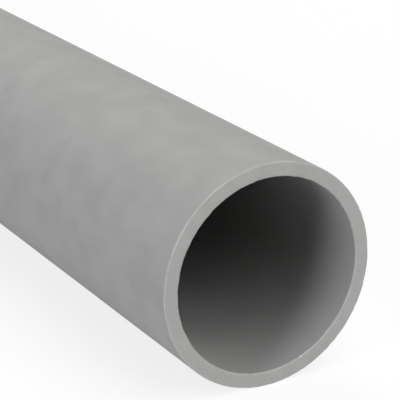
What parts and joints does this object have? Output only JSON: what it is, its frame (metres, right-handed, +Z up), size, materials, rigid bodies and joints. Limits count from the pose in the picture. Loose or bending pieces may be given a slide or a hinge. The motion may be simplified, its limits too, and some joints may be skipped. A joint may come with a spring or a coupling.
{
  "type": "pvc pipe",
  "caption": "Straight round grey PVC pressure pipe with a plain bore, cut square and deburred at the ends, that carries water and takes fittings over its ends.",
  "frame": {"origin": "on the floor under the middle of the pipe's length, which lies on its side", "axes": "+X along the pipe, towards the cut end that the picture shows; +Y across it; +Z up"},
  "size_m": [1, 0.11, 0.11],
  "materials": {
    "grey_pvc": "satin"
  },
  "bodies": {
    "root": {"pipe": "grey_pvc"}
  },
  "joints": []
}
